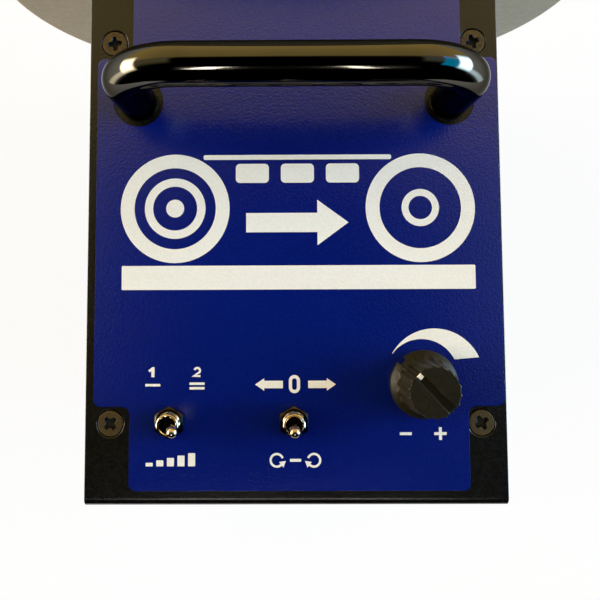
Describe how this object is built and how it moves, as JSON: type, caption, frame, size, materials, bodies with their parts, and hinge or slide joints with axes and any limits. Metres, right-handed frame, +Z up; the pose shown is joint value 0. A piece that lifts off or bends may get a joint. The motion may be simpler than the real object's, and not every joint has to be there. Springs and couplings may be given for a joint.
{
  "type": "bench label rewinder",
  "caption": "Motor-driven bench label rewinder: a sheet-metal case with top controls and a carrying handle, and a horizontal spindle with a guide disc and an expanding core chuck.",
  "frame": {"origin": "on the table under the middle of the whole machine, at the height of the feet's undersides", "axes": "+Z up; +Y along the spindle, from the operator's end of the case to the core chuck; +X to the operator's right"},
  "size_m": [0.209, 0.3036, 0.2205],
  "materials": {
    "black_paint": "fine-textured powder coat, satin",
    "blue_overlay": "printed film, satin, finely textured",
    "dark_chrome": "black chrome, polished",
    "switch_nickel": "bright nickel plate",
    "black_screw": "blackened steel, slightly worn",
    "zinc": "zinc plate, dull",
    "steel": "machined or bare steel",
    "aluminium": "turned, clear anodised",
    "black_plastic": "moulded, satin",
    "pale_plastic": "sheet plastic, matt",
    "nylon": "natural nylon",
    "brass": "cut brass",
    "board_green": "solder-masked board with components",
    "red_cable": "soft cable jacket",
    "black_cable": "soft cable jacket",
    "rubber": "moulded rubber"
  },
  "bodies": {
    "case": {"top_cover": "black_paint", "chassis_tray": "black_paint", "front_plate": "black_paint", "cover_screw_1": "black_screw", "cover_screw_2": "black_screw", "cover_screw_3": "black_screw", "cover_screw_4": "black_screw", "front_plate_screw_1": "black_screw", "front_plate_screw_2": "black_screw", "front_plate_screw_3": "black_screw", "front_plate_screw_4": "black_screw", "rear_wall_screw_1": "black_screw", "rear_wall_screw_2": "black_screw", "foot_1": "rubber", "foot_2": "rubber", "foot_3": "rubber", "foot_4": "rubber", "panel_overlay": "blue_overlay", "carry_handle": "dark_chrome", "handle_bolt_1": "zinc", "handle_bolt_2": "zinc", "torque_switch_case": "switch_nickel", "torque_switch_nut": "switch_nickel", "direction_switch_case": "switch_nickel", "direction_switch_nut": "switch_nickel", "potentiometer": "zinc", "potentiometer_nut": "switch_nickel", "front_bearing_housing": "aluminium", "rear_bearing_housing": "aluminium", "front_bearing": "steel", "rear_bearing": "steel", "drive_bracket": "steel", "gearbox": "zinc", "drive_motor": "steel", "control_board": "board_green", "power_inlet": "black_plastic", "motor_lead": "red_cable", "inlet_lead": "black_cable", "control_loom": "black_cable"},
    "spindle": {"spindle_shaft": "steel", "shaft_collar": "zinc", "main_gear": "nylon", "spindle_hub": "aluminium", "guide_disc": "pale_plastic", "chuck_body": "aluminium", "chuck_screw_1": "zinc", "chuck_screw_2": "zinc", "chuck_screw_3": "zinc"},
    "drive_pinion": {"gearbox_shaft": "steel", "motor_pinion": "brass"},
    "chuck_control": {"chuck_cam": "nylon", "chuck_knob": "black_plastic", "chuck_knob_screw": "zinc"},
    "jaw_1": {"chuck_jaw_1": "black_plastic"},
    "jaw_2": {"chuck_jaw_2": "black_plastic"},
    "jaw_3": {"chuck_jaw_3": "black_plastic"},
    "torque_lever": {"torque_switch_lever": "switch_nickel"},
    "direction_lever": {"direction_switch_lever": "switch_nickel"},
    "torque_dial": {"torque_knob": "black_plastic", "potentiometer_shaft": "aluminium"}
  },
  "joints": [
    {"name": "spindle_spin", "type": "hinge", "parent": "case", "child": "spindle", "pos_m": [0, 0, 0.116], "axis": [0, 1, 0], "continuous": true},
    {"name": "pinion_spin", "type": "hinge", "parent": "case", "child": "drive_pinion", "pos_m": [0, -0.016, 0.081], "axis": [0, 1, 0], "continuous": true},
    {"name": "chuck_knob_turn", "type": "hinge", "parent": "spindle", "child": "chuck_control", "pos_m": [0, 0.14, 0.116], "axis": [0, -1, 0], "range_deg": [0, 97]},
    {"name": "jaw_1_slide", "type": "slide", "parent": "spindle", "child": "jaw_1", "axis": [0, 0, 1], "range_m": [0, 0.00441]},
    {"name": "jaw_2_slide", "type": "slide", "parent": "spindle", "child": "jaw_2", "axis": [0.866, 0, -0.5], "range_m": [0, 0.00441]},
    {"name": "jaw_3_slide", "type": "slide", "parent": "spindle", "child": "jaw_3", "axis": [-0.866, 0, -0.5], "range_m": [0, 0.00441]},
    {"name": "torque_range_switch", "type": "hinge", "parent": "case", "child": "torque_lever", "pos_m": [-0.0357, -0.12558, 0.16765], "axis": [0, 1, 0], "range_deg": [-26, 0]},
    {"name": "direction_switch", "type": "hinge", "parent": "case", "child": "direction_lever", "pos_m": [-0.0005, -0.12558, 0.16765], "axis": [0, 1, 0], "range_deg": [-13, 13]},
    {"name": "torque_knob_turn", "type": "hinge", "parent": "case", "child": "torque_dial", "pos_m": [0.0362, -0.11508, 0.172], "axis": [0, 0, 1], "range_deg": [-193, 107]}
  ],
  "couplings": [
    {"joint": "pinion_spin", "follows": "spindle_spin", "ratio": -2.5},
    {"joint": "jaw_1_slide", "follows": "chuck_knob_turn", "m_per_rad": 0.0026044},
    {"joint": "jaw_2_slide", "follows": "chuck_knob_turn", "m_per_rad": 0.0026044},
    {"joint": "jaw_3_slide", "follows": "chuck_knob_turn", "m_per_rad": 0.0026044}
  ]
}
